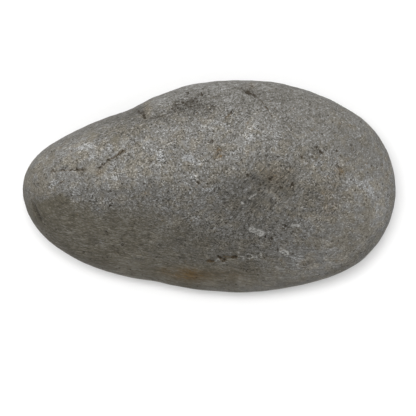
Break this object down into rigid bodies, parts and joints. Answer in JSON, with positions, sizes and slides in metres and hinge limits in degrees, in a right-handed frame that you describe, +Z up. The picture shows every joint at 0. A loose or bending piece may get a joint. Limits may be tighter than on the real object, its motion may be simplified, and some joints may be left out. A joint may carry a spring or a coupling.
{
  "type": "river pebble",
  "caption": "Water-worn grey sandstone pebble, egg-shaped with a slight waist, lying on its flattest side; a loose stone for beds, edging, filling or display.",
  "frame": {"origin": "on the surface that the stone rests on, under the middle of its length and width", "axes": "+X along the length towards the blunt end, +Y across the width towards the waisted side, +Z up through the thickness"},
  "size_m": [0.09, 0.0512, 0.033],
  "materials": {
    "grey_sandstone": "matte, fine-grained, worn smooth by water"
  },
  "bodies": {
    "root": {"pebble": "grey_sandstone"}
  },
  "joints": []
}
